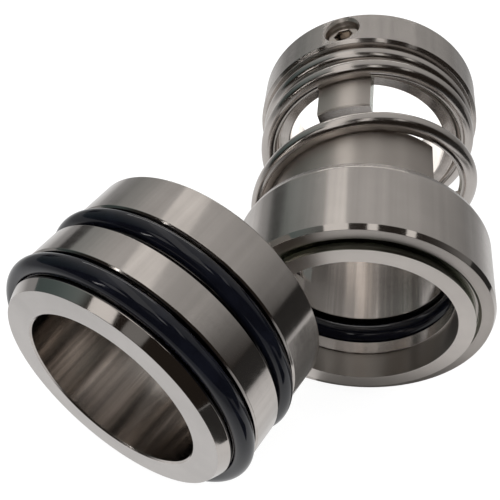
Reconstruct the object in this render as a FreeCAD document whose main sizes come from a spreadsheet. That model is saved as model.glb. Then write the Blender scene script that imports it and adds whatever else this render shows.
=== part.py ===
"""Component mechanical seal: a rotary unit and its stationary seat, both lying on their sides.

Millimetres, +Z up. The rotary unit's axis runs along +Y, from its sealing face back to the
drive collar. The seat lies beside it with its axis turned by seat_heading. Each turned piece
is drawn in its own frame, with its axis along Z and its sealing face at z = 0, so a size
that ends in _at is a distance back from that face. The floor is z = 0, and the origin is the
bottom centre of the box round both pieces.
"""
import FreeCAD, Part
import math
import os

import Sketcher

# Driving dimensions, in millimetres and degrees
SIZES = {
    # Shaft and the bores that run on it
    "shaft_bore_radius": 19.15,
    "bore_chamfer": 0.5,
    # Rotary face ring
    "ring_bore_radius": 20.0,
    "nose_radius": 23.5,
    "nose_length": 3.2,
    "ring_radius": 24.08,
    "ring_length": 6.3,
    # Seal head that holds the ring, the shaft seal and one end of the spring
    "pocket_clearance": 0.02,
    "head_front_at": 1.75,
    "lip_chamfer": 0.5,
    "head_wall": 3.45,
    "head_front_bevel_rise": 0.55,
    "head_front_bevel_run": 1.2,
    "head_back_bevel_rise": 0.75,
    "head_back_bevel_run": 1.8,
    "head_back_at": 19.8,
    "relief_radius": 19.7,
    "gland_front_at": 9.2,
    "gland_width": 6.4,
    "gland_clearance": 0.05,
    "sleeve_radius": 21.9,
    "sleeve_end_at": 37.0,
    "sleeve_chamfer": 0.4,
    "slot_width": 15.0,
    "slot_depth": 14.0,
    "slot_heading": 54.2,
    # Shaft O-ring
    "shaft_ring_bore_radius": 18.9,
    "shaft_ring_section": 5.3,
    # Coil spring
    "wire": 4.0,
    "spring_mean_radius": 24.0,
    "spring_start_heading": 150.0,
    "spring_seat_gap": 0.03,
    # Drive collar
    "collar_radius": 27.0,
    "collar_face_at": 61.3,
    "collar_back_at": 72.0,
    "collar_front_chamfer": 0.7,
    "collar_back_chamfer": 0.4,
    "hub_radius": 21.9,
    "hub_end_at": 54.5,
    "hub_chamfer": 0.3,
    "lug_width": 12.2,
    "lug_end_at": 44.1,
    "lug_count": 2.0,
    "lug_heading": -21.7,
    # Set screws, one over each lug
    "screw_at": 66.9,
    "screw_radius": 3.96,
    "screw_clearance": 0.04,
    "screw_recess": 1.75,
    "screw_tip_gap": 0.1,
    "screw_chamfer": 0.6,
    "cup_radius": 1.9,
    "cup_depth": 0.9,
    "socket_across_flats": 4.0,
    "socket_depth": 3.2,
    "countersink": 0.7,
    # Stationary seat
    "seat_bore_radius": 19.25,
    "seat_nose_radius": 25.0,
    "nose_rim_radius": 26.2,
    "nose_rim_at": 2.2,
    "nose_rim_end": 2.6,
    "seat_front_land_radius": 28.55,
    "seat_front_land_at": 7.3,
    "seat_groove_at": 14.7,
    "seat_groove_radius": 25.0,
    "seat_back_land_at": 20.6,
    "seat_back_land_radius": 28.2,
    "seat_length": 30.6,
    "seat_edge": 0.35,
    "seat_back_chamfer": 0.45,
    # Seat O-rings
    "seat_ring_section": 4.2,
    "seat_ring_clearance": 0.05,
    "seat_front_ring_at": 4.9,
    "seat_rear_ring_at": 18.0,
    # Where the middle of the seat's back end lies, from the rotary unit's sealing face
    "seat_back_aside": -32.9,
    "seat_back_ahead": 3.6,
    "seat_heading": 26.2,
}

# How steeply the wire climbs, against its steepest, at so many turns from the collar
SPRING_CLIMB = ((0.0, 0.0), (0.30, 0.0), (1.42, 0.37), (1.95, 1.0), (2.93, 1.0), (3.19, 0.0), (3.24, 0.0))
SPRING_POINTS_PER_TURN = 24

doc = FreeCAD.newDocument("MechanicalSeal")
sheet = doc.addObject("Spreadsheet::Sheet", "Sizes")
for row, (alias, value) in enumerate(SIZES.items(), start=1):
    sheet.set("A%d" % row, alias)
    sheet.set("B%d" % row, str(value))
    sheet.setAlias("B%d" % row, alias)
doc.recompute()


def size(alias):
    """The value of one cell of the sheet."""
    return float(sheet.get(alias))


def cell(formula):
    """A formula over aliases, written for an expression: each alias gets the sheet's name."""
    words = formula.split(" ")
    return " ".join("Sizes." + word if word in SIZES else word for word in words)


def value_of(formula):
    """The same formula as a number."""
    total = 0.0
    sign = 1.0
    for word in formula.split(" "):
        if word in "+-":
            sign = 1.0 if word == "+" else -1.0
        else:
            total += sign * (size(word) if word in SIZES else float(word))
    return total


# Sketch helpers
def new_body(label):
    """An empty body whose Label names the sub-part."""
    body = doc.addObject("PartDesign::Body", label)
    body.Label = label
    return body


def plane(body, role):
    """One of the body's own origin planes or axes."""
    return next(item for item in body.Origin.OriginFeatures if item.Role == role)


def new_sketch(body, name, role):
    """A sketch on one of the body's origin planes."""
    sketch = body.newObject("Sketcher::SketchObject", name)
    sketch.AttachmentSupport = [(plane(body, role), "")]
    sketch.MapMode = "FlatFace"
    return sketch


def tie(sketch, kind, *where):
    """A constraint whose last entry is a formula over the sheet's aliases."""
    formula = where[-1]
    index = sketch.addConstraint(Sketcher.Constraint(kind, *where[:-1], value_of(formula)))
    sketch.setExpression("Constraints[%d]" % index, cell(formula))


def outline(sketch, corners):
    """A closed outline of straight edges, from (x formula, y formula) corners. "0" puts a corner on an axis."""
    points = [FreeCAD.Vector(value_of(x), value_of(y), 0) for x, y in corners]
    count = len(points)
    for i in range(count):
        sketch.addGeometry(Part.LineSegment(points[i], points[(i + 1) % count]), False)
    for i in range(count):
        sketch.addConstraint(Sketcher.Constraint("Coincident", i, 2, (i + 1) % count, 1))
    for i, (x, y) in enumerate(corners):
        if x == "0":
            sketch.addConstraint(Sketcher.Constraint("PointOnObject", i, 1, -2))
        else:
            tie(sketch, "DistanceX", -1, 1, i, 1, x)
        if y == "0":
            sketch.addConstraint(Sketcher.Constraint("PointOnObject", i, 1, -1))
        else:
            tie(sketch, "DistanceY", -1, 1, i, 1, y)


def turned(label, corners):
    """A body turned about its own Z axis from an outline of (radius, distance along the axis)."""
    body = new_body(label)
    sketch = new_sketch(body, label + "_section", "XZ_Plane")
    outline(sketch, corners)
    turn = body.newObject("PartDesign::Revolution", label + "_turned")
    turn.Profile = sketch
    turn.ReferenceAxis = (sketch, ["V_Axis"])
    turn.Angle = 360
    doc.recompute()
    return body


def repeat_round(body, features, alias):
    """Repeats features evenly round the body's Z axis."""
    pattern = body.newObject("PartDesign::PolarPattern", body.Label + "_round")
    pattern.Originals = features
    pattern.Axis = (plane(body, "Z_Axis"), [""])
    pattern.Angle = 360
    pattern.setExpression("Occurrences", cell(alias))
    body.Tip = pattern
    doc.recompute()


def removes(body, before):
    """Stops the build if a cut took nothing away."""
    if body.Shape.Volume > before - 1.0:
        raise RuntimeError(body.Label + ": the cut removed nothing")


# Rotary unit
POCKET_RADIUS = "ring_radius + pocket_clearance"
HEAD_RADIUS = POCKET_RADIUS + " + head_wall"


def face_ring():
    """Ring with the narrow lapped nose that runs against the seat."""
    return turned("face_ring", [
        ("ring_bore_radius", "0"),
        ("nose_radius", "0"),
        ("nose_radius", "nose_length"),
        ("ring_radius", "nose_length"),
        ("ring_radius", "ring_length"),
        ("ring_bore_radius", "ring_length"),
    ])


def seal_head():
    """Holder: a wide bevelled band in front, and behind it a slotted sleeve that slides on the shaft."""
    gland_radius = "shaft_ring_bore_radius + shaft_ring_section + gland_clearance"
    gland_back = "gland_front_at + gland_width"
    body = turned("seal_head", [
        (POCKET_RADIUS, "head_front_at + lip_chamfer"),
        (POCKET_RADIUS + " + lip_chamfer", "head_front_at"),
        (HEAD_RADIUS + " - head_front_bevel_rise", "head_front_at"),
        (HEAD_RADIUS, "head_front_at + head_front_bevel_run"),
        (HEAD_RADIUS, "head_back_at - head_back_bevel_run"),
        (HEAD_RADIUS + " - head_back_bevel_rise", "head_back_at"),
        ("sleeve_radius", "head_back_at"),
        ("sleeve_radius", "sleeve_end_at - sleeve_chamfer"),
        ("sleeve_radius - sleeve_chamfer", "sleeve_end_at"),
        ("shaft_bore_radius + bore_chamfer", "sleeve_end_at"),
        ("shaft_bore_radius", "sleeve_end_at - bore_chamfer"),
        ("shaft_bore_radius", gland_back),
        (gland_radius, gland_back),
        (gland_radius, "gland_front_at"),
        ("relief_radius", "gland_front_at"),
        ("relief_radius", "ring_length"),
        (POCKET_RADIUS, "ring_length"),
    ])
    before = body.Shape.Volume
    sketch = new_sketch(body, "slot_outline", "XY_Plane")
    sketch.setExpression("AttachmentOffset.Base.z", cell("sleeve_end_at"))
    half = size("slot_width") / 2
    reach = value_of(HEAD_RADIUS)
    corners = [(-half, 0), (half, 0), (half, -reach), (-half, -reach)]
    for i in range(4):
        start = FreeCAD.Vector(*corners[i], 0)
        end = FreeCAD.Vector(*corners[(i + 1) % 4], 0)
        sketch.addGeometry(Part.LineSegment(start, end), False)
    for i in range(4):
        sketch.addConstraint(Sketcher.Constraint("Coincident", i, 2, (i + 1) % 4, 1))
        sketch.addConstraint(Sketcher.Constraint("Vertical" if i % 2 else "Horizontal", i))
    sketch.addConstraint(Sketcher.Constraint("Symmetric", 0, 1, 0, 2, -1, 1))
    tie(sketch, "DistanceX", 0, 1, 0, 2, "slot_width")
    tie(sketch, "DistanceY", 1, 2, 1, 1, HEAD_RADIUS)
    slot = body.newObject("PartDesign::Pocket", "slot")
    slot.Profile = sketch
    slot.setExpression("Length", cell("slot_depth"))
    doc.recompute()
    removes(body, before)
    repeat_round(body, [slot], "lug_count")
    return body


def drive_collar():
    """Collar that is clamped to the shaft: a rim, a hub inside the spring, and lugs for the head's slots."""
    body = turned("drive_collar", [
        ("shaft_bore_radius", "hub_end_at + hub_chamfer"),
        ("shaft_bore_radius + hub_chamfer", "hub_end_at"),
        ("hub_radius - hub_chamfer", "hub_end_at"),
        ("hub_radius", "hub_end_at + hub_chamfer"),
        ("hub_radius", "collar_face_at"),
        ("collar_radius - collar_front_chamfer", "collar_face_at"),
        ("collar_radius", "collar_face_at + collar_front_chamfer"),
        ("collar_radius", "collar_back_at - collar_back_chamfer"),
        ("collar_radius - collar_back_chamfer", "collar_back_at"),
        ("shaft_bore_radius + bore_chamfer", "collar_back_at"),
        ("shaft_bore_radius", "collar_back_at - bore_chamfer"),
    ])
    lug = lug_pad(body)
    before = body.Shape.Volume
    hole = screw_hole(body)
    removes(body, before)
    repeat_round(body, [lug, hole], "lug_count")
    return body


def lug_pad(body):
    """One lug, milled to parallel sides, that reaches forward from the hub."""
    sketch = new_sketch(body, "lug_outline", "XY_Plane")
    sketch.setExpression("AttachmentOffset.Base.z", cell("hub_end_at + hub_chamfer"))
    half = size("lug_width") / 2
    for radius in (size("hub_radius"), size("shaft_bore_radius")):
        swing = math.asin(half / radius)
        circle = Part.Circle(FreeCAD.Vector(0, 0, 0), FreeCAD.Vector(0, 0, 1), radius)
        sketch.addGeometry(Part.ArcOfCircle(circle, -math.pi / 2 - swing, -math.pi / 2 + swing), False)
        sketch.addConstraint(Sketcher.Constraint("Coincident", sketch.GeometryCount - 1, 3, -1, 1))
    for end in (1, 2):
        outer = sketch.getPoint(0, end)
        inner = sketch.getPoint(1, end)
        side = sketch.addGeometry(Part.LineSegment(outer, inner), False)
        sketch.addConstraint(Sketcher.Constraint("Coincident", side, 1, 0, end))
        sketch.addConstraint(Sketcher.Constraint("Coincident", side, 2, 1, end))
        sketch.addConstraint(Sketcher.Constraint("Vertical", side))
    sketch.addConstraint(Sketcher.Constraint("Symmetric", 0, 1, 0, 2, -2))
    tie(sketch, "DistanceX", 0, 1, 0, 2, "lug_width")
    tie(sketch, "Radius", 0, "hub_radius")
    tie(sketch, "Radius", 1, "shaft_bore_radius")
    lug = body.newObject("PartDesign::Pad", "lug")
    lug.Profile = sketch
    lug.Reversed = True
    lug.setExpression("Length", cell("hub_end_at + hub_chamfer - lug_end_at"))
    doc.recompute()
    return lug


def screw_hole(body):
    """Countersunk hole for a set screw, from the collar's rim through to its bore."""
    sketch = new_sketch(body, "hole_section", "YZ_Plane")
    facing_back = FreeCAD.Rotation(FreeCAD.Vector(0, 1, 0), 180)
    sketch.AttachmentOffset = FreeCAD.Placement(FreeCAD.Vector(0, 0, 0), facing_back)
    sketch.setExpression("AttachmentOffset.Base.y", cell("screw_at"))
    hole_radius = "screw_radius + screw_clearance"
    outline(sketch, [
        ("shaft_bore_radius - bore_chamfer", "0"),
        ("collar_radius + countersink", "0"),
        ("collar_radius + countersink", hole_radius + " + countersink + countersink"),
        ("collar_radius - countersink", hole_radius),
        ("shaft_bore_radius - bore_chamfer", hole_radius),
    ])
    hole = body.newObject("PartDesign::Groove", "screw_hole")
    hole.Profile = sketch
    hole.ReferenceAxis = (sketch, ["H_Axis"])
    hole.Angle = 360
    doc.recompute()
    return hole


def set_screw(label):
    """Cup-point set screw with a hexagon socket, its tip at z = 0 and its head sunk in the collar's rim."""
    length = "collar_radius - screw_recess - shaft_bore_radius - screw_tip_gap"
    body = turned(label, [
        ("0", "cup_depth"),
        ("cup_radius", "0"),
        ("screw_radius - screw_chamfer - screw_chamfer", "0"),
        ("screw_radius", "screw_chamfer + screw_chamfer"),
        ("screw_radius", length + " - screw_chamfer"),
        ("screw_radius - screw_chamfer", length),
        ("0", length),
    ])
    before = body.Shape.Volume
    sketch = new_sketch(body, label + "_hexagon", "XY_Plane")
    sketch.setExpression("AttachmentOffset.Base.z", cell(length))
    corner_radius = size("socket_across_flats") / math.sqrt(3)
    corners = []
    for i in range(6):
        angle = math.radians(60 * i)
        corners.append(FreeCAD.Vector(corner_radius * math.cos(angle), corner_radius * math.sin(angle), 0))
    circle = Part.Circle(FreeCAD.Vector(0, 0, 0), FreeCAD.Vector(0, 0, 1), corner_radius)
    for i in range(6):
        sketch.addGeometry(Part.LineSegment(corners[i], corners[(i + 1) % 6]), False)
    ring = sketch.addGeometry(circle, True)
    sketch.addConstraint(Sketcher.Constraint("Coincident", ring, 3, -1, 1))
    for i in range(6):
        sketch.addConstraint(Sketcher.Constraint("Coincident", i, 2, (i + 1) % 6, 1))
        sketch.addConstraint(Sketcher.Constraint("PointOnObject", i, 1, ring))
    for i in range(1, 6):
        sketch.addConstraint(Sketcher.Constraint("Equal", 0, i))
    sketch.addConstraint(Sketcher.Constraint("PointOnObject", 0, 1, -1))
    index = sketch.addConstraint(Sketcher.Constraint("Radius", ring, corner_radius))
    sketch.setExpression("Constraints[%d]" % index, "Sizes.socket_across_flats / sqrt(3)")
    socket = body.newObject("PartDesign::Pocket", label + "_socket")
    socket.Profile = sketch
    socket.setExpression("Length", cell("socket_depth"))
    doc.recompute()
    removes(body, before)
    return body


def climb_to(turns):
    """How far the wire has climbed, in units of its steepest climb in one turn, after so many turns."""
    climbed = 0.0
    for (start, slow), (end, fast) in zip(SPRING_CLIMB, SPRING_CLIMB[1:]):
        if turns <= start:
            break
        stop = min(turns, end)
        share = (stop - start) / (end - start)
        climbed += (stop - start) * (slow + slow + share * (fast - slow)) / 2
    return climbed


def coil_spring():
    """Open coil of round wire, its first coil flat on the collar and its last flat on the head."""
    all_turns = SPRING_CLIMB[-1][0]
    stand_off = size("wire") / 2 + size("spring_seat_gap")
    start_at = size("collar_face_at") - stand_off
    travel = start_at - size("head_back_at") - stand_off
    steepest = travel / climb_to(all_turns)
    mean = size("spring_mean_radius")
    points = []
    for i in range(int(round(all_turns * SPRING_POINTS_PER_TURN)) + 1):
        turns = min(i / SPRING_POINTS_PER_TURN, all_turns)
        heading = math.radians(size("spring_start_heading") - 360 * turns)
        along = start_at - steepest * climb_to(turns)
        points.append(FreeCAD.Vector(mean * math.sin(heading), -mean * math.cos(heading), along))
    curve = Part.BSplineCurve()
    curve.interpolate(points)
    path = Part.Wire([curve.toShape()])
    tangent = curve.tangent(curve.FirstParameter)[0]
    section = Part.Wire([Part.makeCircle(size("wire") / 2, points[0], tangent)])
    pipe = Part.BRepOffsetAPI.MakePipeShell(path)
    pipe.setBiNormalMode(FreeCAD.Vector(0, 0, 1))
    pipe.add(section)
    pipe.build()
    pipe.makeSolid()
    spring = doc.addObject("Part::Feature", "coil_spring")
    spring.Label = "coil_spring"
    spring.Shape = pipe.shape()
    length = curve.length()
    print("spring wire %.1f mm long, volume ratio %.4f" % (
        length, spring.Shape.Volume / (math.pi * size("wire") ** 2 / 4 * length)))
    return spring


def rubber_ring(label, bore, section):
    """O-ring of a bore radius and a section diameter."""
    ring = doc.addObject("Part::Torus", label)
    ring.Label = label
    ring.setExpression("Radius1", cell(bore) + " + " + cell(section) + " / 2")
    ring.setExpression("Radius2", cell(section) + " / 2")
    return ring


# Stationary seat
def seat_ring():
    """Seat turned from one bar: a lapped nose, two lands and the groove between them."""
    return turned("seat_ring", [
        ("seat_bore_radius", "seat_edge"),
        ("seat_bore_radius + seat_edge", "0"),
        ("seat_nose_radius", "0"),
        ("nose_rim_radius", "nose_rim_at"),
        ("nose_rim_radius", "nose_rim_end"),
        ("seat_nose_radius", "nose_rim_end"),
        ("seat_nose_radius", "seat_front_land_at"),
        ("seat_front_land_radius - seat_edge", "seat_front_land_at"),
        ("seat_front_land_radius", "seat_front_land_at + seat_edge"),
        ("seat_front_land_radius", "seat_groove_at - seat_edge"),
        ("seat_front_land_radius - seat_edge", "seat_groove_at"),
        ("seat_groove_radius", "seat_groove_at"),
        ("seat_groove_radius", "seat_back_land_at"),
        ("seat_back_land_radius - seat_edge", "seat_back_land_at"),
        ("seat_back_land_radius", "seat_back_land_at + seat_edge"),
        ("seat_back_land_radius", "seat_length - seat_back_chamfer"),
        ("seat_back_land_radius - seat_back_chamfer", "seat_length"),
        ("seat_bore_radius + seat_edge", "seat_length"),
        ("seat_bore_radius", "seat_length - seat_edge"),
    ])


# Build
ring = face_ring()
head = seal_head()
collar = drive_collar()
screws = [set_screw("set_screw_%d" % (i + 1)) for i in range(int(size("lug_count")))]
spring = coil_spring()
shaft_ring = rubber_ring("shaft_o_ring", "shaft_ring_bore_radius", "shaft_ring_section")
seat = seat_ring()
front_ring = rubber_ring("seat_front_o_ring", "seat_nose_radius + seat_ring_clearance", "seat_ring_section")
rear_ring = rubber_ring("seat_rear_o_ring", "seat_groove_radius + seat_ring_clearance", "seat_ring_section")
doc.recompute()

# Places: every piece is laid down from its own upright frame
UP = FreeCAD.Vector(0, 0, 1)
LAID_BACK = FreeCAD.Rotation(FreeCAD.Vector(1, 0, 0), -90)
seat_lift = value_of("seat_nose_radius + seat_ring_clearance + seat_ring_section")


def along_axis(distance):
    """A step back along a piece's own axis."""
    return FreeCAD.Placement(FreeCAD.Vector(0, 0, distance), FreeCAD.Rotation())


def turned_to(heading):
    """A turn about a piece's own axis, from straight up towards +X."""
    return FreeCAD.Placement(FreeCAD.Vector(0, 0, 0), FreeCAD.Rotation(UP, heading))


rotary_place = FreeCAD.Placement(FreeCAD.Vector(0, 0, value_of(HEAD_RADIUS)), LAID_BACK)
seat_back = FreeCAD.Vector(size("seat_back_aside"), size("seat_back_ahead"), seat_lift)
seat_turn = FreeCAD.Rotation(UP, -size("seat_heading")).multiply(LAID_BACK)
seat_place = FreeCAD.Placement(seat_back, seat_turn).multiply(along_axis(-size("seat_length")))
collar_place = rotary_place.multiply(turned_to(size("lug_heading")))

places = {
    ring: rotary_place,
    head: rotary_place.multiply(turned_to(size("slot_heading"))),
    shaft_ring: rotary_place.multiply(along_axis(value_of("gland_front_at") + size("gland_width") / 2)),
    spring: rotary_place,
    collar: collar_place,
    seat: seat_place,
    front_ring: seat_place.multiply(along_axis(size("seat_front_ring_at"))),
    rear_ring: seat_place.multiply(along_axis(size("seat_rear_ring_at"))),
}
tip_radius = value_of("shaft_bore_radius + screw_tip_gap")
pointing_out = FreeCAD.Placement(FreeCAD.Vector(0, -tip_radius, size("screw_at")),
                                 FreeCAD.Rotation(FreeCAD.Vector(1, 0, 0), 90))
for i, screw in enumerate(screws):
    places[screw] = collar_place.multiply(turned_to(360.0 * i / len(screws))).multiply(pointing_out)

for piece, place in places.items():
    piece.Placement = place
doc.recompute()

# The origin is the bottom centre of the box round everything
box = FreeCAD.BoundBox()
for piece in places:
    box.add(piece.Shape.optimalBoundingBox(False))
origin = FreeCAD.Vector(box.Center.x, box.Center.y, box.ZMin)
for piece in places:
    placed = piece.Placement
    piece.Placement = FreeCAD.Placement(placed.Base - origin, placed.Rotation)
doc.recompute()

# Checks and files
for item in doc.Objects:
    if "Invalid" in item.State or "Error" in item.State:
        raise RuntimeError(item.Name + " failed: " + str(item.State))
for piece in places:
    if piece.Shape.isNull() or not piece.Shape.isValid():
        raise RuntimeError(piece.Label + " has no valid shape")

os.makedirs("parts", exist_ok=True)
for piece in places:
    piece.Shape.exportStep("parts/" + piece.Label + ".step")
    print("%-18s %9.1f mm3" % (piece.Label, piece.Shape.Volume))
print("origin moved by", [round(c, 3) for c in origin])
print("box %.2f x %.2f x %.2f mm" % (box.XLength, box.YLength, box.ZLength))
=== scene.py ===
"""Looks of a mechanical seal: a sprung rotary unit and its stationary seat, lying on a pale floor.

Every turned piece is a profile of (radius, distance back from its sealing face), in millimetres,
carried round the piece's axis. An angle round an axis is 0 at the top and grows to the right,
seen from the sealing face. The spring is a circle carried along a climbing coil.
"""
import math

import bpy
import numpy as np
from mathutils import Matrix, Vector


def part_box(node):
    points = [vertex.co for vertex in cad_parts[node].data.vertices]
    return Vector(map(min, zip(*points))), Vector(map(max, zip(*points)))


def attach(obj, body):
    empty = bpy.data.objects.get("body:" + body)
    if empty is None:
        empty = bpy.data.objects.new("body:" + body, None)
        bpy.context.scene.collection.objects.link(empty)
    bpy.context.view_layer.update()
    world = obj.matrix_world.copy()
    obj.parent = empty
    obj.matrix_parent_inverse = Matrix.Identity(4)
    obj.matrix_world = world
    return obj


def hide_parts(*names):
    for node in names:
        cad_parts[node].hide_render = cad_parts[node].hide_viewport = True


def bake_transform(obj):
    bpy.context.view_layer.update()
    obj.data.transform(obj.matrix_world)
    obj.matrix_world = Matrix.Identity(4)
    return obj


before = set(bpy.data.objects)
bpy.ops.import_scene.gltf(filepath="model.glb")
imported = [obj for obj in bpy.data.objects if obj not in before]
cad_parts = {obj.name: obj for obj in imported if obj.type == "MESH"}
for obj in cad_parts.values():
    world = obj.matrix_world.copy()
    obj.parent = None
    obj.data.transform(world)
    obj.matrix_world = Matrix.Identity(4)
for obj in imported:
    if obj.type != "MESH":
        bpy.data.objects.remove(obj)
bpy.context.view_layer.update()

MM = 0.001
TURN = 2 * math.pi
UP = np.array([0.0, 0.0, 1.0])

# Sizes in millimetres: radii, and places along the axis from the unit's sealing face; headings in degrees
SHAFT_BORE, BORE_CHAMFER = 19.15, 0.5

# Face ring: a narrow sealing lip on a wider foot
RING_BORE, RING_LIP, RING_FOOT = 20.0, 23.5, 24.08
RING_LIP_LENGTH, RING_LENGTH = 3.2, 6.3

# Seal head: the ring's pocket, a relief bore and a gland in front, and a slotted sleeve behind
POCKET, POCKET_CHAMFER = 24.1, 0.5
HEAD_FRONT, HEAD_BACK, HEAD_RADIUS = 1.75, 19.8, 27.545
HEAD_FRONT_RIM, HEAD_BEVEL_END = 27.0, 2.95
HEAD_BACK_RIM, HEAD_TAPER_START = 26.8, 18.0
RELIEF = 19.7
GLAND_RADIUS, GLAND_FRONT, GLAND_BACK = 24.25, 9.2, 15.6
SLEEVE_RADIUS, SLEEVE_END, SLEEVE_CHAMFER = 21.9, 37.0, 0.4
SLOT_WIDTH, SLOT_DEPTH, SLOT_HEADING = 15.0, 14.0, 54.2
SHAFT_RING_BORE, SHAFT_RING_SECTION = 18.9, 5.3

# Coil spring: the turns made where its steepness changes, and how steep it is there
WIRE, COIL_RADIUS, COIL_START = 4.0, 24.0, 150.0
CLIMB_TURNS = (0.0, 0.30, 1.42, 1.95, 2.93, 3.19, 3.24)
CLIMB_STEEPNESS = (0.0, 0.0, 0.37, 1.0, 1.0, 0.0, 0.0)
WIRE_END_EASE = 0.25
SPRING_GAP = 0.03

# Drive collar: a hub with two lugs in front of it, and two set screws in threaded holes
COLLAR_RADIUS, COLLAR_FACE, COLLAR_BACK = 27.0, 61.3, 72.0
COLLAR_FACE_CHAMFER, COLLAR_BACK_CHAMFER = 0.7, 0.4
HUB_END, HUB_CHAMFER = 54.5, 0.3
LUG_WIDTH, LUG_REACH, LUG_HEADING = 12.2, 10.4, -21.7
SCREW_AT, SCREW_TIP, SCREW_LENGTH, SCREW_RADIUS = 66.9, 19.25, 6.0, 3.96
CUP_RADIUS, CUP_DEPTH, POINT_RADIUS, SCREW_TOP_RADIUS = 1.8, 0.7, 2.7, 3.45
THREAD_START, THREAD_END_GAP, THREAD_RUN_IN = 1.1, 0.5, 0.3
THREAD_PITCH, THREAD_DEPTH = 1.25, 0.36
SOCKET_FLATS, SOCKET_DEPTH, SOCKET_CHAMFER = 4.0, 3.2, 0.12
HOLE_RADIUS, HOLE_COUNTERSINK, HOLE_RUN_OUT = 4.0, 0.7, 1.6
HOLE_FROM, HOLE_THREAD_FROM, HOLE_TO = 17.5, 19.5, 28.5

# Stationary seat: a bevelled nose, and two lands with a ring groove in front of each
SEAT_BORE, SEAT_BORE_CHAMFER, SEAT_LENGTH = 19.25, 0.35, 30.6
SEAT_NOSE, NOSE_RIM, NOSE_BEVEL_END, NOSE_END = 25.0, 26.2, 2.2, 2.6
FRONT_LAND, FRONT_LAND_START, FRONT_LAND_END = 28.55, 7.3, 14.7
REAR_LAND, REAR_LAND_START = 28.2, 20.6
LAND_CHAMFER, SEAT_BACK_CHAMFER = 0.35, 0.45
SEAT_RING_SECTION, SEAT_RING_CLEARANCE = 4.16, 0.06
SEAT_RING_AT = (4.9, 18.0)

# Fineness of the meshes: points round a turned piece, how far a flat's last point lies from its corner,
# half the width of a window's wall, and the arc over which the points beside a window even out
ROUND = 320
SUPPORT = 0.04
WINDOW_WALL, WINDOW_FADE = 0.03, 0.35
SHARP_ANGLE = math.radians(32)

# How far past its face a rule for a finish still reaches
MARGIN = 0.1


# Units: where each axis lies
def middle(node):
    """The centre of a CAD node's box, in metres."""
    low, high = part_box(node)
    return (np.array(low) + np.array(high)) / 2


class Unit:
    """An axis: its sealing-face centre, its direction, and the sideways direction at angle 90."""

    def __init__(self, centre, axis):
        self.centre = np.array(centre, float)
        self.axis = np.array(axis, float)
        self.side = np.cross(self.axis, UP)
        self.heading = math.atan2(self.axis[0], self.axis[1])

    def points(self, radius, angle, along):
        """Metres from millimetres: centre + axis * along + radius * (up * cos angle + side * sin angle)."""
        radius, angle, along = np.broadcast_arrays(radius, angle, along)
        out = self.centre + MM * along[..., None] * self.axis
        out = out + MM * (radius * np.cos(angle))[..., None] * UP
        return out + MM * (radius * np.sin(angle))[..., None] * self.side


ring_low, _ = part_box("face_ring")
ring_middle = middle("face_ring")
rotary = Unit((ring_middle[0], ring_low[1], ring_middle[2]), (0, 1, 0))

front_ring_middle = middle("seat_front_o_ring")
seat_run = middle("seat_rear_o_ring") - front_ring_middle
seat_axis = seat_run / np.linalg.norm(seat_run)
seat = Unit(front_ring_middle - seat_axis * SEAT_RING_AT[0] * MM, seat_axis)


# Mesh helpers
def grid_mesh(name, points, capped=False):
    """A closed mesh over a (rows, columns, 3) grid.

    Columns close into rings. Rows do too, unless the mesh is capped: then a fan to the mean of each
    end row closes it.
    """
    rows, columns = points.shape[:2]
    row = np.arange(rows - 1 if capped else rows)[:, None]
    column = np.arange(columns)[None, :]
    after_row, after_column = (row + 1) % rows, (column + 1) % columns
    quads = np.stack([row * columns + column, after_row * columns + column,
                      after_row * columns + after_column, row * columns + after_column], -1)
    vertices = points.reshape(-1, 3)
    faces = quads.reshape(-1, 4).tolist()
    if capped:
        ends = np.stack([points[0].mean(0), points[-1].mean(0)])
        vertices = np.concatenate([vertices, ends])
        here, after = np.arange(columns), (np.arange(columns) + 1) % columns
        last = (rows - 1) * columns
        first_fan = np.stack([here, after, np.full(columns, rows * columns)], -1)
        last_fan = np.stack([last + after, last + here, np.full(columns, rows * columns + 1)], -1)
        faces += first_fan.tolist() + last_fan.tolist()
    mesh = bpy.data.meshes.new(name)
    mesh.from_pydata(vertices, [], faces)
    mesh.validate()
    turn_outward(mesh)
    return mesh


def turn_outward(mesh):
    """Turns every face round if the closed mesh has a negative volume."""
    mesh.calc_loop_triangles()
    corners = np.empty(len(mesh.vertices) * 3)
    mesh.vertices.foreach_get("co", corners)
    triangles = np.empty(len(mesh.loop_triangles) * 3, int)
    mesh.loop_triangles.foreach_get("vertices", triangles)
    a, b, c = corners.reshape(-1, 3)[triangles.reshape(-1, 3)].transpose(1, 0, 2)
    if np.einsum("ij,ij->i", a, np.cross(b, c)).sum() < 0:
        mesh.flip_normals()


def linked(name, data):
    """A new object in the scene, at the origin."""
    made = bpy.data.objects.new(name, data)
    bpy.context.scene.collection.objects.link(made)
    return made


def piece(name, mesh, body, node):
    """A shown piece that stands for a CAD node and rides on its body."""
    mesh.polygons.foreach_set("use_smooth", np.ones(len(mesh.polygons), bool))
    mesh.set_sharp_from_angle(angle=SHARP_ANGLE)
    made = linked(name, mesh)
    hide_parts(node)
    if body:
        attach(made, body)
    return made


def eased(corners, steps=4):
    """A closed profile with eased corners, from rows of (radius, along, ease).

    Each corner becomes a parabola between the points at distance ease from it on both its sides,
    and each straight run gets a point close to either end, which keeps it flat when it is shaded.
    """
    corners = np.array(corners, float)
    at, ease = corners[:, :2], corners[:, 2:]
    back = np.roll(at, 1, 0) - at
    onward = np.roll(at, -1, 0) - at
    back /= np.linalg.norm(back, axis=1, keepdims=True)
    onward /= np.linalg.norm(onward, axis=1, keepdims=True)
    t = np.linspace(0, 1, steps + 1)[None, :, None]
    start, end = at + back * ease, at + onward * ease
    curve = (1 - t) ** 2 * start[:, None] + 2 * t * (1 - t) * at[:, None] + t ** 2 * end[:, None]
    before = (at + back * (ease + SUPPORT))[:, None]
    after = (at + onward * (ease + SUPPORT))[:, None]
    return np.concatenate([before, curve, after], 1).reshape(-1, 2)


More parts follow.
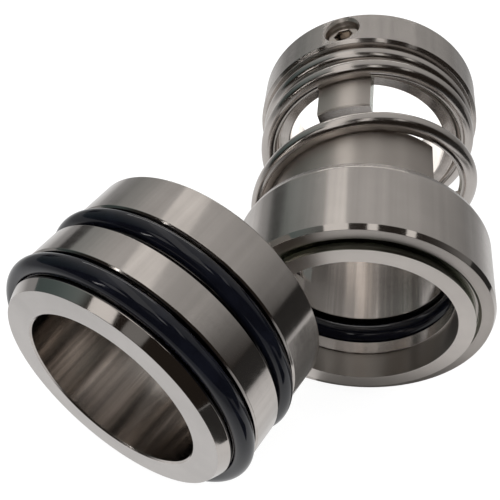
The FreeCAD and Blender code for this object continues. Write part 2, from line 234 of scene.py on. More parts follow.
def turned(name, unit, profile, columns=ROUND):
    """The profile carried round the unit's axis."""
    angle = np.linspace(0, TURN, columns, endpoint=False)[None, :]
    return grid_mesh(name, unit.points(profile[:, :1], angle, profile[:, 1:]))


def castellated(name, unit, profile, mouth, shift, width, heading):
    """A turned ring whose mouth steps back or forward in two opposite windows with parallel sides.

    Inside a window the profile's points in the mouth move along the axis by shift. A point at radius r
    has its window edge at the angle whose sine is half the width over r, so every window wall is flat.
    Angles inside a window are stretched evenly to fit, and outside it the stretch fades out over an arc.
    """
    edge = math.asin(width / 2 / SLEEVE_RADIUS)
    wall = WINDOW_WALL / SLEEVE_RADIUS
    outer = np.linspace(-TURN / 4, -edge - 2 * wall, ROUND // 6)
    inner = np.linspace(-edge + 2 * wall, edge - 2 * wall, ROUND // 6)
    walls = np.array([-edge - wall, -edge + wall])
    half = np.concatenate([outer, walls, inner, -walls[::-1], -outer[:0:-1]])
    radius, along = profile[:, 0], profile[:, 1]
    inside = np.abs(half) < edge
    own_edge = np.arcsin(width / 2 / radius)
    fade = np.clip((edge + WINDOW_FADE - np.abs(half)) / WINDOW_FADE, 0, 1)
    stretch = np.where(inside, np.abs(half) / edge, fade)
    angle = half[None, :] + np.sign(half)[None, :] * stretch[None, :] * (own_edge - edge)[:, None]
    moved = along[:, None] + shift * inside[None, :] * mouth[:, None]
    angle = np.concatenate([angle, angle + TURN / 2], 1) + math.radians(heading)
    moved = np.concatenate([moved, moved], 1)
    return grid_mesh(name, unit.points(radius[:, None], angle, moved))


# Node helpers
def emptied_tree(owner):
    """The node tree of a material or world, with nothing in it."""
    owner.use_nodes = True
    owner.node_tree.nodes.clear()
    return owner.node_tree


def add_node(tree, kind, settings=None, **inputs):
    """A shader node. Inputs go by name or by number after an underscore, and output sockets are linked."""
    made = tree.nodes.new("ShaderNode" + kind)
    for key, value in (settings or {}).items():
        setattr(made, key, value)
    for key, value in inputs.items():
        socket = made.inputs[int(key[1:])] if key[0] == "_" else made.inputs[key.replace("_", " ")]
        if isinstance(value, bpy.types.NodeSocket):
            tree.links.new(value, socket)
        else:
            socket.default_value = value
    return made


def show(tree, shader, output="OutputMaterial"):
    """Makes a shader the surface of its material or world."""
    add_node(tree, output, Surface=shader.outputs[0])


def arithmetic(tree, operation, a, b):
    """One step with two numbers."""
    return add_node(tree, "Math", {"operation": operation}, _0=a, _1=b).outputs[0]


def ramp(tree, value, start, end, low=0.0, high=1.0, smooth=False):
    """A number that runs from low to high while the value runs from start to end, and stays there."""
    interpolation = {"interpolation_type": "SMOOTHSTEP" if smooth else "LINEAR"}
    return add_node(tree, "MapRange", interpolation, Value=value, From_Min=start, From_Max=end,
                    To_Min=low, To_Max=high).outputs[0]


def noise(tree, place, scale, detail, roughness):
    """Noise from 0 to 1 over a place, with so many grains a unit, so many finer layers and so rough."""
    made = add_node(tree, "TexNoise", Vector=place, Scale=scale, Detail=detail, Roughness=roughness)
    return made.outputs[0]


def blended(tree, share, first, second):
    """The first colour where the share is 0, and the second where it is 1."""
    return add_node(tree, "Mix", {"data_type": "RGBA"}, _0=share, _6=first, _7=second).outputs[2]


def scaled(tree, vector, factor):
    """A vector or colour times a number."""
    return add_node(tree, "VectorMath", {"operation": "SCALE"}, _0=vector, Scale=factor).outputs[0]


def length(tree, vector):
    """A vector's length."""
    return add_node(tree, "VectorMath", {"operation": "LENGTH"}, _0=vector).outputs["Value"]


def direction(tree, vector):
    """A vector's direction, one long."""
    return add_node(tree, "VectorMath", {"operation": "NORMALIZE"}, _0=vector).outputs[0]


def object_place(tree):
    """Object coordinates, in metres."""
    return add_node(tree, "TexCoord").outputs["Object"]


def colour_of(tone, factor=1.0):
    """A tone times a factor, as a colour with its alpha."""
    return (*[channel * factor for channel in tone], 1)


# Finishes
def lathe_place(tree, unit):
    """Millimetres in the unit's own frame, the radius, the distance along, and the way out from the axis."""
    local = add_node(tree, "Mapping", {"vector_type": "TEXTURE"}, Vector=object_place(tree),
                     Location=tuple(unit.centre), Rotation=(0, 0, -unit.heading),
                     Scale=(MM, MM, MM)).outputs[0]
    parts = add_node(tree, "SeparateXYZ", _0=local)
    across = add_node(tree, "CombineXYZ", X=parts.outputs[0], Z=parts.outputs[2]).outputs[0]
    return local, length(tree, across), parts.outputs[1], direction(tree, across)


def turned_steel(name, unit, tone, roughness, spread, groove, anisotropy, streaks=0.0):
    """Steel with tool marks in rings: noise over (radius, distance along) raises grooves, in millimetres.

    Gloss is drawn out across the grooves, along the axis on a cylinder and outwards on a flat face.
    Streaks darken and lighten the tone in lines that run lengthwise, by noise over the way round.
    """
    material = bpy.data.materials.new(name)
    tree = emptied_tree(material)
    local, radius, along, outward_way = lathe_place(tree, unit)
    rings = add_node(tree, "CombineXYZ", X=radius, Y=along).outputs[0]
    fine_rings = noise(tree, rings, 7.0, 3.0, 0.6)
    broad_rings = noise(tree, rings, 0.9, 2.0, 0.5)
    grain = noise(tree, local, 1.6, 4.0, 0.65)
    smears = noise(tree, local, 0.12, 2.0, 0.5)
    lines = noise(tree, outward_way, 5.0, 3.0, 0.6)
    wear = arithmetic(tree, "ADD", arithmetic(tree, "MULTIPLY", broad_rings, 0.4),
                      arithmetic(tree, "MULTIPLY", grain, 0.6))
    uneven = ramp(tree, wear, 0.3, 0.7, roughness - spread, roughness + spread)
    smeared = blended(tree, ramp(tree, smears, 0.35, 0.65), colour_of(tone, 0.93), colour_of(tone))
    colour = scaled(tree, smeared, ramp(tree, lines, 0.43, 0.58, 1.0 - streaks, 1.0 + streaks / 2))
    bumps = add_node(tree, "Bump", Height=fine_rings, Distance=groove * MM, Strength=1.0)
    leaning = add_node(tree, "VectorMath", {"operation": "ADD"}, _0=outward_way, _1=(0, 1, 0)).outputs[0]
    tangent = add_node(tree, "VectorRotate", {"rotation_type": "Z_AXIS"}, Vector=leaning,
                       Angle=-unit.heading)
    show(tree, add_node(tree, "BsdfPrincipled", Base_Color=colour, Metallic=1.0, Roughness=uneven,
                        Anisotropic=anisotropy, Normal=bumps.outputs[0], Tangent=tangent.outputs[0]))
    return material


def drawn_wire(name, tone):
    """Bright spring wire with fine drawing lines along it: noise over its own map, long one way."""
    material = bpy.data.materials.new(name)
    tree = emptied_tree(material)
    wire_map = add_node(tree, "UVMap").outputs[0]
    long_lines = add_node(tree, "Mapping", Vector=wire_map, Scale=(6.0, 46.0, 1.0)).outputs[0]
    lines = noise(tree, long_lines, 1.0, 3.0, 0.6)
    patches = noise(tree, object_place(tree), 220.0, 3.0, 0.6)
    colour = blended(tree, lines, colour_of(tone, 0.86), colour_of(tone))
    uneven = ramp(tree, patches, 0.3, 0.7, 0.14, 0.22)
    bumps = add_node(tree, "Bump", Height=lines, Distance=0.02 * MM, Strength=0.6)
    show(tree, add_node(tree, "BsdfPrincipled", Base_Color=colour, Metallic=1.0, Roughness=uneven,
                        Normal=bumps.outputs[0]))
    return material


def moulded_rubber(name, tone):
    """Black rubber with a low sheen, a fine grain and a few dull smears."""
    material = bpy.data.materials.new(name)
    tree = emptied_tree(material)
    place = object_place(tree)
    grain = noise(tree, place, 2600.0, 3.0, 0.6)
    smears = noise(tree, place, 140.0, 4.0, 0.6)
    dust = ramp(tree, smears, 0.45, 0.8)
    colour = blended(tree, dust, colour_of(tone), colour_of(tone, 2.2))
    uneven = ramp(tree, smears, 0.3, 0.7, 0.05, 0.12)
    bumps = add_node(tree, "Bump", Height=grain, Distance=0.003 * MM, Strength=0.5)
    show(tree, add_node(tree, "BsdfPrincipled", Base_Color=colour, Roughness=uneven,
                        Specular_IOR_Level=0.42, Normal=bumps.outputs[0]))
    return material


# Each steel: its unit, tone, roughness and the spread of it, groove depth, anisotropy and streaks
STEEL_TONE = (0.59, 0.55, 0.52)
rotary_satin = turned_steel("rotary_turned_steel", rotary, STEEL_TONE, 0.19, 0.04, 0.001, 0.93, 0.08)
seat_satin = turned_steel("seat_turned_steel", seat, STEEL_TONE, 0.15, 0.035, 0.001, 0.75, 0.08)
# A lighter, rougher steel without streaks: its lighter tone is painted light on the sleeve, the hub and the
# screw holes
rotary_painted_light = turned_steel("rotary_painted_light_steel", rotary, (0.8, 0.74, 0.69), 0.45, 0.04, 0.001, 0.95)
seat_streaked = turned_steel("seat_streaked_steel", seat, (0.64, 0.59, 0.55), 0.14, 0.03, 0.001, 0.9, 0.4)
rotary_polish = turned_steel("rotary_polished_steel", rotary, STEEL_TONE, 0.09, 0.02, 0.0003, 0.3)
seat_polish = turned_steel("seat_polished_steel", seat, STEEL_TONE, 0.09, 0.02, 0.0003, 0.3)
ring_bore = turned_steel("ring_bore_steel", rotary, (0.42, 0.39, 0.36), 0.3, 0.03, 0.0005, 1.0)
head_bore = turned_steel("head_bore_steel", rotary, STEEL_TONE, 0.19, 0.04, 0.001, 0.93, 0.3)
rotary_lapped = turned_steel("rotary_lapped_face", rotary, (0.74, 0.69, 0.65), 0.42, 0.04, 0.0005, 0.0)
seat_lapped = turned_steel("seat_lapped_face", seat, (0.68, 0.65, 0.63), 0.42, 0.04, 0.0005, 0.0)
# A darker, greener steel: painted shade in the face ring's pocket and on the lugs' side walls
rotary_painted_shade = turned_steel("rotary_painted_shade_steel", rotary, (0.4, 0.42, 0.36), 0.14, 0.05, 0.012, 0.0)
rotary_dull = turned_steel("rotary_dull_land", rotary, (0.52, 0.48, 0.45), 0.36, 0.05, 0.0015, 0.0)
spring_wire = drawn_wire("drawn_spring_wire", (0.6, 0.56, 0.53))
screw_steel = turned_steel("screw_steel", rotary, (0.62, 0.57, 0.52), 0.13, 0.03, 0.001, 0.0)
black_rubber = moulded_rubber("black_rubber", (0.0035, 0.004, 0.007))


def face_places(mesh, unit):
    """Each face's radius, distance along, and its normal's shares along the axis and away from it."""
    centres = np.empty(len(mesh.polygons) * 3)
    normals = np.empty(len(mesh.polygons) * 3)
    mesh.polygons.foreach_get("center", centres)
    mesh.polygons.foreach_get("normal", normals)
    away = (centres.reshape(-1, 3) - unit.centre) / MM
    along = away @ unit.axis
    out = away - along[:, None] * unit.axis
    radius = np.linalg.norm(out, axis=1)
    facing = normals.reshape(-1, 3) @ unit.axis
    lift = np.einsum("ij,ij->i", normals.reshape(-1, 3), out) / radius
    return radius, along, facing, lift


def finish(mesh, plain, *others):
    """Gives a mesh its plain material, and others as (material, its faces). The last one wins."""
    mesh.materials.append(plain)
    index = np.zeros(len(mesh.polygons), int)
    for number, (material, faces) in enumerate(others, start=1):
        mesh.materials.append(material)
        index[faces] = number
    mesh.polygons.foreach_set("material_index", index)
    return mesh


# Face ring
def face_ring():
    """Lapped in front, satin behind, and darker round its rim: painted shade for the head's pocket it lies
    deep in.
    """
    mesh = turned("face_ring_turned", rotary, eased([
        (RING_BORE, 0, 0.06), (RING_LIP, 0, 0.06), (RING_LIP, RING_LIP_LENGTH, 0.05),
        (RING_FOOT, RING_LIP_LENGTH, 0.05), (RING_FOOT, RING_LENGTH, 0.05), (RING_BORE, RING_LENGTH, 0.08),
    ]))
    radius, _, facing, _ = face_places(mesh, rotary)
    return finish(
        mesh, rotary_satin,
        (rotary_lapped, facing < -0.98),
        (ring_bore, radius < RING_BORE + 0.01),
        # Painted shade: the rim and foot, deep in the pocket, get the darker steel
        (rotary_painted_shade, (radius > RING_LIP - MARGIN) & (facing > -0.9)),
    )


piece("face_ring_turned", face_ring(), "head", "face_ring")


# Seal head
def seal_head():
    """A turned head whose sleeve has two slots, polished where its edges are bevelled."""
    profile = eased([
        (POCKET, HEAD_FRONT + POCKET_CHAMFER, 0.06), (POCKET + POCKET_CHAMFER, HEAD_FRONT, 0.08),
        (HEAD_FRONT_RIM, HEAD_FRONT, 0.05), (HEAD_RADIUS, HEAD_BEVEL_END, 0.05),
        (HEAD_RADIUS, HEAD_TAPER_START, 0.3), (HEAD_BACK_RIM, HEAD_BACK, 0.08),
        (SLEEVE_RADIUS, HEAD_BACK, 0.1),
        (SLEEVE_RADIUS, SLEEVE_END - SLEEVE_CHAMFER, 0.05),
        (SLEEVE_RADIUS - SLEEVE_CHAMFER, SLEEVE_END, 0.05),
        (SHAFT_BORE + BORE_CHAMFER, SLEEVE_END, 0.05), (SHAFT_BORE, SLEEVE_END - BORE_CHAMFER, 0.05),
        (SHAFT_BORE, GLAND_BACK, 0.1), (GLAND_RADIUS, GLAND_BACK, 0.1),
        (GLAND_RADIUS, GLAND_FRONT, 0.1), (RELIEF, GLAND_FRONT, 0.1),
        (RELIEF, RING_LENGTH, 0.1), (POCKET, RING_LENGTH, 0.05),
    ])
    mouth = profile[:, 1] > SLEEVE_END - BORE_CHAMFER - 2 * MARGIN
    mesh = castellated("seal_head_turned", rotary, profile, mouth, -SLOT_DEPTH, SLOT_WIDTH, SLOT_HEADING)
    radius, along, facing, _ = face_places(mesh, rotary)
    front = along < HEAD_BEVEL_END
    bevel = front & (radius > HEAD_FRONT_RIM - MARGIN) & (np.abs(facing) > 0.2) & (np.abs(facing) < 0.95)
    back_corner = (np.abs(along - HEAD_TAPER_START) < 0.28) & (radius > HEAD_RADIUS - MARGIN)
    return finish(
        mesh, rotary_satin,
        (rotary_polish, bevel | back_corner),
        (rotary_dull, front & (radius < HEAD_FRONT_RIM + MARGIN) & (facing < -0.5)),
        # Painted shade: the pocket's wall gets the darker steel
        (rotary_painted_shade, (along < RING_LENGTH + MARGIN) & (np.abs(radius - POCKET) < MARGIN)),
        # Painted light: the sleeve under the coil gets the lighter steel
        (rotary_painted_light, (along > HEAD_BACK + MARGIN) & (radius > SLEEVE_RADIUS - 5 * MARGIN)),
        (head_bore, (along > GLAND_BACK) & (radius < SHAFT_BORE + 0.01)),
    )


piece("seal_head_turned", seal_head(), "head", "seal_head")


# Rubber rings
def rubber_ring(name, unit, bore, section, at):
    """A circle of the section carried round the axis."""
    turn = np.linspace(0, TURN, 48, endpoint=False)
    profile = np.stack([bore + section / 2 * (1 - np.cos(turn)), at + section / 2 * np.sin(turn)], 1)
    return finish(turned(name, unit, profile, 288), black_rubber)


piece("shaft_rubber_ring", rubber_ring("shaft_rubber_ring", rotary, SHAFT_RING_BORE, SHAFT_RING_SECTION,
                                       (GLAND_FRONT + GLAND_BACK) / 2), "head", "shaft_o_ring")
for end, at in zip(("front", "rear"), SEAT_RING_AT):
    name = "seat_" + end + "_rubber_ring"
    piece(name, rubber_ring(name, seat, SEAT_NOSE + SEAT_RING_CLEARANCE, SEAT_RING_SECTION, at),
          "collar", "seat_" + end + "_o_ring")


# Coil spring
def coil_path(samples):
    """Turns made and distance along: the steepness is summed up over the turns, then scaled to the gap."""
    turns = np.linspace(0, CLIMB_TURNS[-1], samples)
    steepness = np.interp(turns, CLIMB_TURNS, CLIMB_STEEPNESS)
    climbed = np.concatenate([[0], np.cumsum((steepness[1:] + steepness[:-1]) / 2 * np.diff(turns))])
    stand_off = WIRE / 2 + SPRING_GAP
    start, end = COLLAR_FACE - stand_off, HEAD_BACK + stand_off
    return turns, start - climbed / climbed[-1] * (start - end)


def coil_spring(samples=900, around=40):
    """A circle square to the coil's run at each sample, a little narrower at both ends.

    Its map is (turns made, way round the wire).
    """
    turns, along = coil_path(samples)
    middle_line = rotary.points(COIL_RADIUS, math.radians(COIL_START) - TURN * turns, along)
    run = np.gradient(middle_line, axis=0)
    run /= np.linalg.norm(run, axis=1, keepdims=True)
    away = middle_line - rotary.points(0.0, 0.0, along)
    away -= run * np.einsum("ij,ij->i", away, run)[:, None]
    away /= np.linalg.norm(away, axis=1, keepdims=True)
    across = np.cross(run, away)
    turn = np.linspace(0, TURN, around, endpoint=False)
    radius = np.full(samples, WIRE / 2)
    radius[[0, -1]] -= WIRE_END_EASE
    ring = np.cos(turn)[None, :, None] * away[:, None] + np.sin(turn)[None, :, None] * across[:, None]
    points = middle_line[:, None] + MM * radius[:, None, None] * ring
    mesh = grid_mesh("coil_spring_wire", points, capped=True)
    corner_vertex = np.empty(len(mesh.loops), int)
    mesh.loops.foreach_get("vertex_index", corner_vertex)
    row, column = np.divmod(np.minimum(corner_vertex, samples * around - 1), around)
    wire_map = np.stack([row / samples * CLIMB_TURNS[-1], np.abs(column / around - 0.5)], 1)
    mesh.uv_layers.new(name="wire_map").data.foreach_set("uv", wire_map.astype(np.float32).ravel())
    return finish(mesh, spring_wire)


spring = piece("coil_spring_wire", coil_spring(), None, "coil_spring")
spring_front = rotary.points(0.0, 0.0, HEAD_BACK)
spring_back = rotary.points(0.0, 0.0, COLLAR_FACE)
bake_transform(spring)


# Threads, set screws and their holes
def thread(turn, out):
    """How deep the thread is cut, 0 at its crest and 1 at its root: a triangle wave with its tops cut off."""
    phase = (out / THREAD_PITCH - turn / TURN) % 1.0
    return np.clip(1.25 * (1 - np.abs(2 * phase - 1)), 0, 1)


def screw_points(heading, radius, turn, out):
    """Points round a line that leaves the rotary axis at a heading: radius and turn about it, out along."""
    angle = math.radians(heading)
    line = math.cos(angle) * UP + math.sin(angle) * rotary.side
    across = np.cross(line, rotary.axis)
    base = rotary.centre + MM * SCREW_AT * rotary.axis
    radius, turn, out = np.broadcast_arrays(radius, turn, out)
    flat = np.cos(turn)[..., None] * rotary.axis + np.sin(turn)[..., None] * across
    return base + MM * out[..., None] * line + MM * radius[..., None] * flat


def set_screw(name, heading):
    """Rows of (radius, distance out): up from the cup point, the thread, the top and down the hexagon socket.

    The hexagon's radius is half its flats over the cosine of the angle from the nearest flat's middle.
    """
    turn = np.linspace(0, TURN, 96, endpoint=False)[None, :]
    hexagon = SOCKET_FLATS / 2 / np.cos((turn + TURN / 12) % (TURN / 6) - TURN / 12)
    thread_end = SCREW_LENGTH - THREAD_END_GAP
    side = np.linspace(THREAD_START, thread_end, 60)[:, None]
    fade = np.clip(np.minimum(side - THREAD_START, thread_end - side) / THREAD_RUN_IN, 0, 1)
    rows = [
        (0.5, CUP_DEPTH), (CUP_RADIUS, 0.05), (CUP_RADIUS + 0.15, 0.0), (POINT_RADIUS, 0.0),
        (SCREW_RADIUS - THREAD_DEPTH * fade * thread(turn, side), side),
        (SCREW_TOP_RADIUS, SCREW_LENGTH),
        (hexagon + SOCKET_CHAMFER, SCREW_LENGTH), (hexagon, SCREW_LENGTH - SOCKET_CHAMFER),
        (hexagon, SCREW_LENGTH - SOCKET_DEPTH), (0.4, SCREW_LENGTH - SOCKET_DEPTH - 0.5),
    ]
    rings = [np.broadcast_arrays(radius, out, turn)[:2] for radius, out in rows]
    radius, out = (np.concatenate(values) for values in zip(*rings))
    mesh = grid_mesh(name, screw_points(heading, radius, turn, SCREW_TIP + out), capped=True)
    return finish(mesh, screw_steel)


def hole_cutter(heading):
    """The shape of a threaded, countersunk hole, from inside the bore to outside the rim."""
    turn = np.linspace(0, TURN, 96, endpoint=False)[None, :]
    mouth = COLLAR_RADIUS - HOLE_COUNTERSINK
    thread_end = mouth - 0.02
    side = np.linspace(HOLE_THREAD_FROM, thread_end, 90)
    out = np.concatenate([[HOLE_FROM], side, [mouth, HOLE_TO]])[:, None]
    cut = THREAD_DEPTH / 3 * (1 - thread(turn, out - SCREW_TIP))
    fade = np.clip((thread_end - out) / HOLE_RUN_OUT, 0, 1)
    radius = HOLE_RADIUS + cut * fade + np.clip(out - mouth, 0, None)
    mesh = grid_mesh("hole_cutter", screw_points(heading, radius, turn, out), capped=True)
    return linked("hole_cutter", mesh)


def with_holes(mesh, cutters):
    """The mesh after every cutter is taken away from it."""
    work = linked("holed", mesh)
    for cutter in cutters:
        cut = work.modifiers.new("cut", "BOOLEAN")
        cut.operation, cut.solver, cut.object = "DIFFERENCE", "EXACT", cutter
    bpy.context.view_layer.update()
    result = bpy.data.meshes.new_from_object(work.evaluated_get(bpy.context.evaluated_depsgraph_get()))
    for spent in [work] + cutters:
        bpy.data.objects.remove(spent)
    result.materials.clear()
    result.name = mesh.name
    return result


# Drive collar
def drive_collar(headings):
    """A turned collar whose hub carries two lugs, with a threaded hole at each heading."""
    profile = eased([
        (SHAFT_BORE, HUB_END + HUB_CHAMFER, 0.04), (SHAFT_BORE + HUB_CHAMFER, HUB_END, 0.04),
        (SLEEVE_RADIUS - HUB_CHAMFER, HUB_END, 0.04), (SLEEVE_RADIUS, HUB_END + HUB_CHAMFER, 0.04),
        (SLEEVE_RADIUS, COLLAR_FACE, 0.1), (COLLAR_RADIUS - COLLAR_FACE_CHAMFER, COLLAR_FACE, 0.1),
        (COLLAR_RADIUS, COLLAR_FACE + COLLAR_FACE_CHAMFER, 0.1),
        (COLLAR_RADIUS, COLLAR_BACK - COLLAR_BACK_CHAMFER, 0.1),
        (COLLAR_RADIUS - COLLAR_BACK_CHAMFER, COLLAR_BACK, 0.1),
        (SHAFT_BORE + BORE_CHAMFER, COLLAR_BACK, 0.05), (SHAFT_BORE, COLLAR_BACK - BORE_CHAMFER, 0.05),
    ])
    mouth = profile[:, 1] < HUB_END + HUB_CHAMFER + MARGIN
    mesh = castellated("drive_collar_milled", rotary, profile, mouth, -LUG_REACH, LUG_WIDTH, LUG_HEADING)
    mesh = with_holes(mesh, [hole_cutter(heading) for heading in headings])
    radius, along, facing, lift = face_places(mesh, rotary)
    hub = (along < COLLAR_FACE - MARGIN) & (radius > SLEEVE_RADIUS - 5 * MARGIN)
    in_the_wall = (radius > SHAFT_BORE + 1.5 * MARGIN) & (radius < COLLAR_RADIUS - MARGIN)
    holes = in_the_wall & (np.abs(along - SCREW_AT) < HOLE_RADIUS + 6 * MARGIN)
    return finish(
        mesh, rotary_satin,
        # Painted light: the hub under the coil and the insides of the screw holes get the lighter steel
        (rotary_painted_light, hub | holes),
        # Painted shade: the lugs' side walls get the darker steel
        (rotary_painted_shade, (along < HUB_END) & (np.abs(facing) < 0.2) & (np.abs(lift) < 0.5)),
    )


screw_headings = (LUG_HEADING, LUG_HEADING + 180)
piece("drive_collar_milled", drive_collar(screw_headings), "collar", "drive_collar")
for number, heading in enumerate(screw_headings, start=1):
    name = "set_screw_threaded_%d" % number
    piece(name, set_screw(name, heading), "collar", "set_screw_%d" % number)


# Stationary seat
def seat_ring():
    """A turned seat: lapped nose face, polished nose bevel, satin lands and a streaked bore."""
    mesh = turned("seat_ring_turned", seat, eased([
        (SEAT_BORE, SEAT_BORE_CHAMFER, 0.05), (SEAT_BORE + SEAT_BORE_CHAMFER, 0, 0.05),
        (SEAT_NOSE, 0, 0.06), (NOSE_RIM, NOSE_BEVEL_END, 0.06),
        (NOSE_RIM, NOSE_END, 0.06), (SEAT_NOSE, NOSE_END, 0.1),
        (SEAT_NOSE, FRONT_LAND_START, 0.1), (FRONT_LAND - LAND_CHAMFER, FRONT_LAND_START, 0.06),
        (FRONT_LAND, FRONT_LAND_START + LAND_CHAMFER, 0.06),
        (FRONT_LAND, FRONT_LAND_END - LAND_CHAMFER, 0.06),
        (FRONT_LAND - LAND_CHAMFER, FRONT_LAND_END, 0.06), (SEAT_NOSE, FRONT_LAND_END, 0.1),
        (SEAT_NOSE, REAR_LAND_START, 0.1), (REAR_LAND - LAND_CHAMFER, REAR_LAND_START, 0.06),
        (REAR_LAND, REAR_LAND_START + LAND_CHAMFER, 0.06), (REAR_LAND, SEAT_LENGTH - SEAT_BACK_CHAMFER, 0.08),
        (REAR_LAND - SEAT_BACK_CHAMFER, SEAT_LENGTH, 0.08),
        (SEAT_BORE + SEAT_BORE_CHAMFER, SEAT_LENGTH, 0.05),
        (SEAT_BORE, SEAT_LENGTH - SEAT_BORE_CHAMFER, 0.05),
    ]))
    radius, along, facing, _ = face_places(mesh, seat)
    return finish(
        mesh, seat_satin,
        (seat_lapped, (facing < -0.98) & (along < NOSE_BEVEL_END)),
        (seat_polish, (radius > SEAT_NOSE - MARGIN) & (along < NOSE_END - MARGIN) & (np.abs(facing) < 0.9)),
        (seat_streaked, radius < SEAT_BORE + 0.01),
    )


piece("seat_ring_turned", seat_ring(), "collar", "seat_ring")

# Camera, at the photograph's viewing angle: its place from the face ring and its height in millimetres,
# and its lens as long as this many pixels in a frame this many pixels wide
CAMERA_HEADING = math.radians(-4.507)
CAMERA_DOWN = math.radians(49.495)
CAMERA_ROLL = math.radians(3.392)
CAMERA_FROM_RING = np.array([-15.53, -98.06])
CAMERA_HEIGHT = 162.2
LENS_PIXELS, FRAME_PIXELS = 801.5, 500

ahead = np.array([math.sin(CAMERA_HEADING), math.cos(CAMERA_HEADING), 0])
right = np.array([math.cos(CAMERA_HEADING), -math.sin(CAMERA_HEADING), 0])
look = ahead * math.cos(CAMERA_DOWN) - UP * math.sin(CAMERA_DOWN)
level_up = ahead * math.sin(CAMERA_DOWN) + UP * math.cos(CAMERA_DOWN)
camera_right = right * math.cos(CAMERA_ROLL) + level_up * math.sin(CAMERA_ROLL)
camera_up = level_up * math.cos(CAMERA_ROLL) - right * math.sin(CAMERA_ROLL)
camera_data = bpy.data.cameras.new("camera")
camera_data.sensor_width = 36.0
camera_data.lens = LENS_PIXELS / FRAME_PIXELS * camera_data.sensor_width
camera_data.clip_start, camera_data.clip_end = 0.005, 20.0
camera = linked("camera", camera_data)
camera_spot = Vector((*(rotary.centre[:2] + CAMERA_FROM_RING * MM), CAMERA_HEIGHT * MM))
camera_turn = Matrix((camera_right, camera_up, -look)).transposed()
camera.matrix_world = Matrix.Translation(camera_spot) @ camera_turn.to_4x4()
bpy.context.scene.camera = camera


# Studio
def stage_plane(name, corners, material):
    """A flat sheet through four corners, in metres, that isn't part of the object."""
    mesh = bpy.data.meshes.new(name)
    mesh.from_pydata([tuple(c) for c in corners], [], [(0, 1, 2, 3)])
    mesh.materials.append(material)
    made = linked(name, mesh)
    return made


def card(name, places, strength, only_mirrored=False):
    """A card that shines and is mirrored but isn't seen, from corners in millimetres (right, ahead, up)."""
    material = bpy.data.materials.new(name)
    tree = emptied_tree(material)
    show(tree, add_node(tree, "Emission", Color=(1.0, 0.98, 0.95, 1), Strength=strength))
    made = stage_plane(name, [(right * x + ahead * y + UP * z) * MM for x, y, z in places], material)
    made.visible_camera = False
    if only_mirrored:
        made.visible_diffuse = made.visible_shadow = False


def level_card(name, left_side, right_side, near, far, height, strength, only_mirrored=False):
    """A card lying flat at a height."""
    card(name, [(left_side, near, height), (left_side, far, height),
                (right_side, far, height), (right_side, near, height)], strength, only_mirrored)


# Lights overhead and behind
level_card("long_light", -38, -6, -60, 115, 120, 0.88)
level_card("left_light", -274, -152, -160, -60, 305, 0.9)
level_card("faint_light", -115, -31, -240, -166, 305, 0.22)
level_card("small_light", 5, 45, -160, -115, 305, 1.8)
level_card("middle_light", 2, 38, -110, -10, 305, 0.9)
level_card("right_light", 145, 190, -110, -10, 305, 0.9)
level_card("back_reflector", 8, 52, 64, 105, 1, 2.1)
card("back_window", [(-170, 520, 115), (-170, 520, 150), (230, 520, 150), (230, 520, 115)], 3.4)

# Dark boards beside the seal, dark sheets on the floor that only mirrors see as painted shade, and a lamp
# that only the steel mirrors
card("dark_board", [(-390, 330, 0), (-390, 330, 95), (-240, 330, 95), (-240, 330, 0)], 0.05)
card("right_board", [(140, -120, 0), (140, -120, 60), (140, 20, 60), (140, 20, 0)], 0.03)
# Painted shade: dark sheets on the floor, seen only in mirrors, where the floor in front of the head and the
# nose lies in shade
level_card("shade_by_head", 14, 110, -33, -17, 0.3, 0.12, True)
card("shade_by_nose", [(20, -77, 0.3), (60, -77, 0.3), (420, -520, 0.3), (250, -520, 0.3)], 0.03, True)
card("left_lamp", [(-534, -274, 150), (-534, -274, 400), (-525, -290, 400), (-525, -290, 150)], 6, True)

FLOOR_HALF, ROOM_HALF = 0.6, 3.0
FLOOR_NEAR, FLOOR_FAR = 0.07, 0.2
SQUARE = ((-1, -1), (1, -1), (1, 1), (-1, 1))


def looks_at_backdrop(tree):
    """1 where the camera, a mirror or a clear surface looks at the backdrop, and 0 for the light it gives."""
    rays = add_node(tree, "LightPath").outputs
    camera_or_mirror = arithmetic(tree, "MAXIMUM", rays["Is Camera Ray"], rays["Is Glossy Ray"])
    return arithmetic(tree, "MAXIMUM", camera_or_mirror, rays["Is Transmission Ray"])


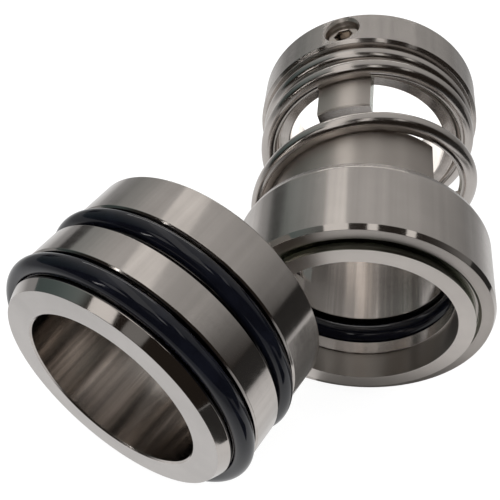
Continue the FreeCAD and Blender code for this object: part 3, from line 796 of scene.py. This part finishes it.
def floor_paper():
    """White paper, shown with a white of its own added to its shade, and mirrored darker far out."""
    material = bpy.data.materials.new("floor_paper")
    tree = emptied_tree(material)
    distance = length(tree, object_place(tree))
    tone = ramp(tree, distance, FLOOR_NEAR, FLOOR_FAR, 0.85, 0.3, smooth=True)
    mirrored = ramp(tree, distance, FLOOR_NEAR, FLOOR_FAR, 0.7, 0.28, smooth=True)
    shown = arithmetic(tree, "MAXIMUM", mirrored, add_node(tree, "LightPath").outputs["Is Camera Ray"])
    paper = add_node(tree, "BsdfDiffuse", Color=tone)
    shade = add_node(tree, "BsdfDiffuse", Color=arithmetic(tree, "MULTIPLY", shown, 0.24))
    white = add_node(tree, "Emission", Color=(1, 1, 1, 1), Strength=arithmetic(tree, "MULTIPLY", shown, 0.88))
    backdrop = add_node(tree, "AddShader", _0=shade.outputs[0], _1=white.outputs[0])
    show(tree, add_node(tree, "MixShader", _0=looks_at_backdrop(tree), _1=paper.outputs[0],
                        _2=backdrop.outputs[0]))
    return material


def room_grey():
    """A grey room: lighter ahead and overhead, greener on the left, almost black behind the camera."""
    material = bpy.data.materials.new("room_grey")
    tree = emptied_tree(material)
    way = direction(tree, object_place(tree))
    level_way = add_node(tree, "Mapping", Vector=way, Rotation=(0, 0, CAMERA_HEADING)).outputs[0]
    rightward, forward, _ = add_node(tree, "SeparateXYZ", _0=level_way).outputs
    above = add_node(tree, "VectorMath", {"operation": "MAXIMUM"}, _0=level_way, _1=(-1, 0, 0)).outputs[0]
    rise = add_node(tree, "VectorMath", {"operation": "DOT_PRODUCT"}, _0=above, _1=(0, 0.25, 0.33))
    level = arithmetic(tree, "ADD", rise.outputs["Value"], 0.12)
    tint = blended(tree, ramp(tree, rightward, -0.35, -0.95), (1, 0.985, 0.965, 1), (0.32, 0.43, 0.42, 1))
    lit_walls = scaled(tree, tint, level)
    in_front = ramp(tree, forward, -0.1, 0.05, smooth=True)
    colour = blended(tree, in_front, (0.02, 0.016, 0.013, 1), lit_walls)
    show(tree, add_node(tree, "Emission", Color=colour, Strength=1.0))
    return material


stage_plane("floor", [(x * FLOOR_HALF, y * FLOOR_HALF, 0) for x, y in SQUARE], floor_paper())

# The room's six walls, which only mirrors see
wall_grey = room_grey()
for axis in range(3):
    for side, label in ((-1, "low"), (1, "high")):
        corners = [np.roll((side, a, b), axis) * ROOM_HALF for a, b in SQUARE]
        wall = stage_plane("room_wall_%d_%s" % (axis, label), corners, wall_grey)
        wall.visible_camera = wall.visible_diffuse = wall.visible_transmission = False

# World: white wherever the backdrop is looked at, and a plain soft light
world = bpy.data.worlds.new("studio")
bpy.context.scene.world = world
world_tree = emptied_tree(world)
sky_colour = blended(world_tree, looks_at_backdrop(world_tree), (1.12, 1.12, 1.12, 1), (1, 1, 1, 1))
show(world_tree, add_node(world_tree, "Background", Color=sky_colour, Strength=1.0), "OutputWorld")

bpy.context.scene.view_settings.view_transform = "Standard"
